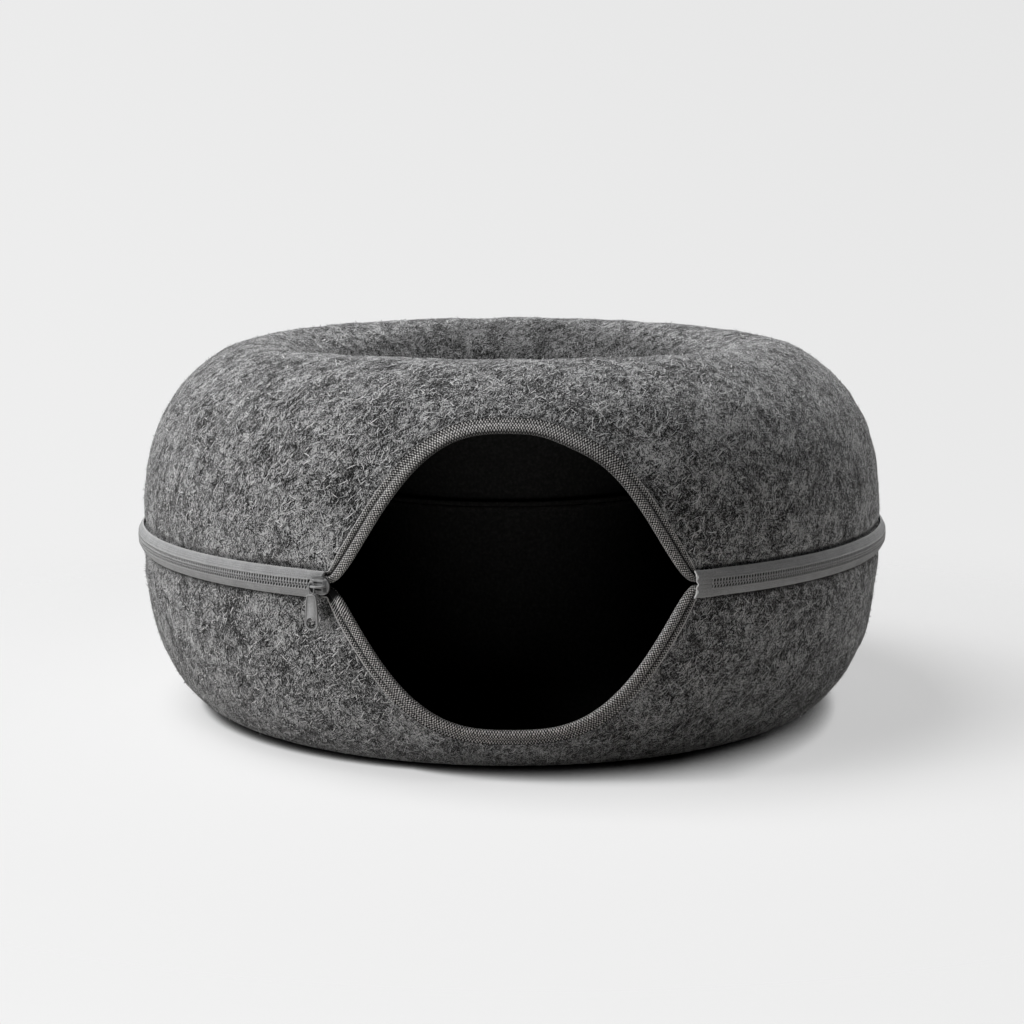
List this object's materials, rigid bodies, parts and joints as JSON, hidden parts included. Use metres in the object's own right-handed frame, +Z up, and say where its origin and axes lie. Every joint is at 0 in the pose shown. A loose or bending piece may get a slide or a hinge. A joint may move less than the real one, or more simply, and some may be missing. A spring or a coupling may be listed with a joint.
{
  "type": "donut cat bed",
  "caption": "Ring-shaped felt tunnel bed for a cat: two moulded felt half shells zipped together round the outside, with a tape-bound opening in front and an open well in the middle.",
  "frame": {"origin": "middle of the footprint, on the floor under the bed", "axes": "+Z up, the opening faces -Y, +X to the right of someone who looks into the opening"},
  "size_m": [0.509, 0.4907, 0.2474],
  "materials": {
    "felt": "needled melange felt, light and dark grey fibres, fuzzy",
    "binding": "grey woven tape, folded over the edge and stitched",
    "zip_tape": "grey woven zip tape with a slight sheen",
    "zip_chain": "grey nylon coil",
    "zip_metal": "grey enamelled die casting"
  },
  "bodies": {
    "root": {"upper_shell": "felt", "lower_shell": "felt", "opening_binding_upper": "binding", "opening_binding_lower": "binding", "zip_tape_upper": "zip_tape", "zip_tape_lower": "zip_tape", "zip_chain": "zip_chain", "zip_slider": "zip_metal", "zip_pull": "zip_metal"}
  },
  "joints": []
}
